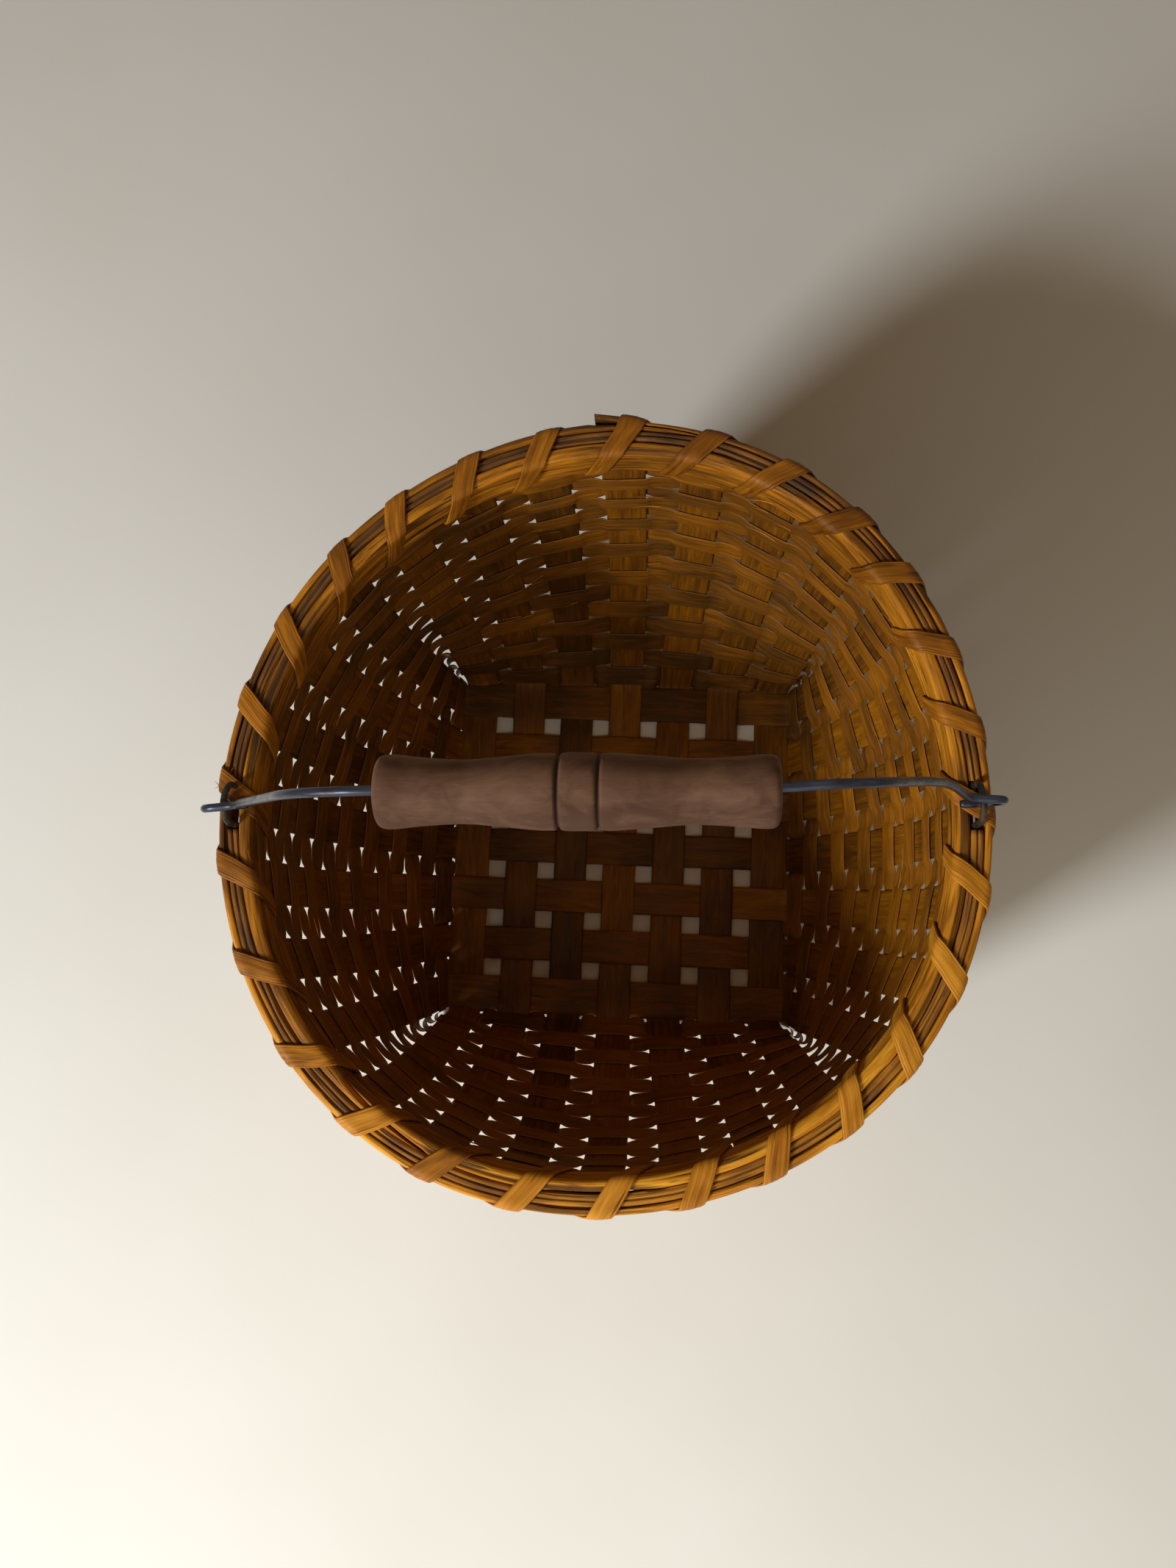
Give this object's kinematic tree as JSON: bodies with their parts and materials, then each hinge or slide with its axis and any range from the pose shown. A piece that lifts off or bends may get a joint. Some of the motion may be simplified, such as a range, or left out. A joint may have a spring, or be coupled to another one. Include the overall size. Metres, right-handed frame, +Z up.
{
  "type": "foraging basket",
  "caption": "Round-rimmed, square-bottomed woven splint basket for mushroom foraging, with a swinging wire bail and a turned wooden grip.",
  "frame": {"origin": "middle of the woven base, on the surface that the basket stands on", "axes": "+Z up through the mouth, +X through the right ear, +Y to the back; the bail swings about X"},
  "size_m": [0.2672, 0.2735, 0.2947],
  "materials": {
    "stained_splint": "stained, satin",
    "stained_weaver": "stained, satin",
    "hoop_wood": "stained, satin",
    "filler_reed": "stained, matte",
    "lashing_cane": "stained, satin",
    "ear_iron": "dark corroded iron wire",
    "bail_steel": "dark drawn steel wire",
    "grip_wood": "bare turned wood, matte"
  },
  "bodies": {
    "basket": {"splint_x_1": "stained_splint", "splint_x_2": "stained_splint", "splint_x_3": "stained_splint", "splint_x_4": "stained_splint", "splint_x_5": "stained_splint", "splint_x_6": "stained_splint", "splint_x_7": "stained_splint", "splint_y_1": "stained_splint", "splint_y_2": "stained_splint", "splint_y_3": "stained_splint", "splint_y_4": "stained_splint", "splint_y_5": "stained_splint", "splint_y_6": "stained_splint", "splint_y_7": "stained_splint", "weaver_01": "stained_weaver", "weaver_02": "stained_weaver", "weaver_03": "stained_weaver", "weaver_04": "stained_weaver", "weaver_05": "stained_weaver", "weaver_06": "stained_weaver", "weaver_07": "stained_weaver", "weaver_08": "stained_weaver", "weaver_09": "stained_weaver", "weaver_10": "stained_weaver", "weaver_11": "stained_weaver", "weaver_12": "stained_weaver", "weaver_13": "stained_weaver", "weaver_14": "stained_weaver", "weaver_15": "stained_weaver", "weaver_16": "stained_weaver", "weaver_17": "stained_weaver", "weaver_18": "stained_weaver", "rim_outer_hoop": "hoop_wood", "rim_inner_hoop": "hoop_wood", "rim_filler_back": "filler_reed", "rim_filler_front": "filler_reed", "rim_lashing_back": "lashing_cane", "rim_lashing_front": "lashing_cane", "ear_left": "ear_iron", "ear_right": "ear_iron"},
    "bail": {"bail_wire": "bail_steel"},
    "grip": {"grip": "grip_wood"}
  },
  "joints": [
    {"name": "bail_swing", "type": "hinge", "parent": "basket", "child": "bail", "pos_m": [-0.00073, 0, 0.189], "axis": [1, 0, 0], "range_deg": [-95, 85]},
    {"name": "grip_spin", "type": "hinge", "parent": "bail", "child": "grip", "pos_m": [-0.00073, -0.00837, 0.28464], "axis": [1, 0, 0], "continuous": true}
  ]
}
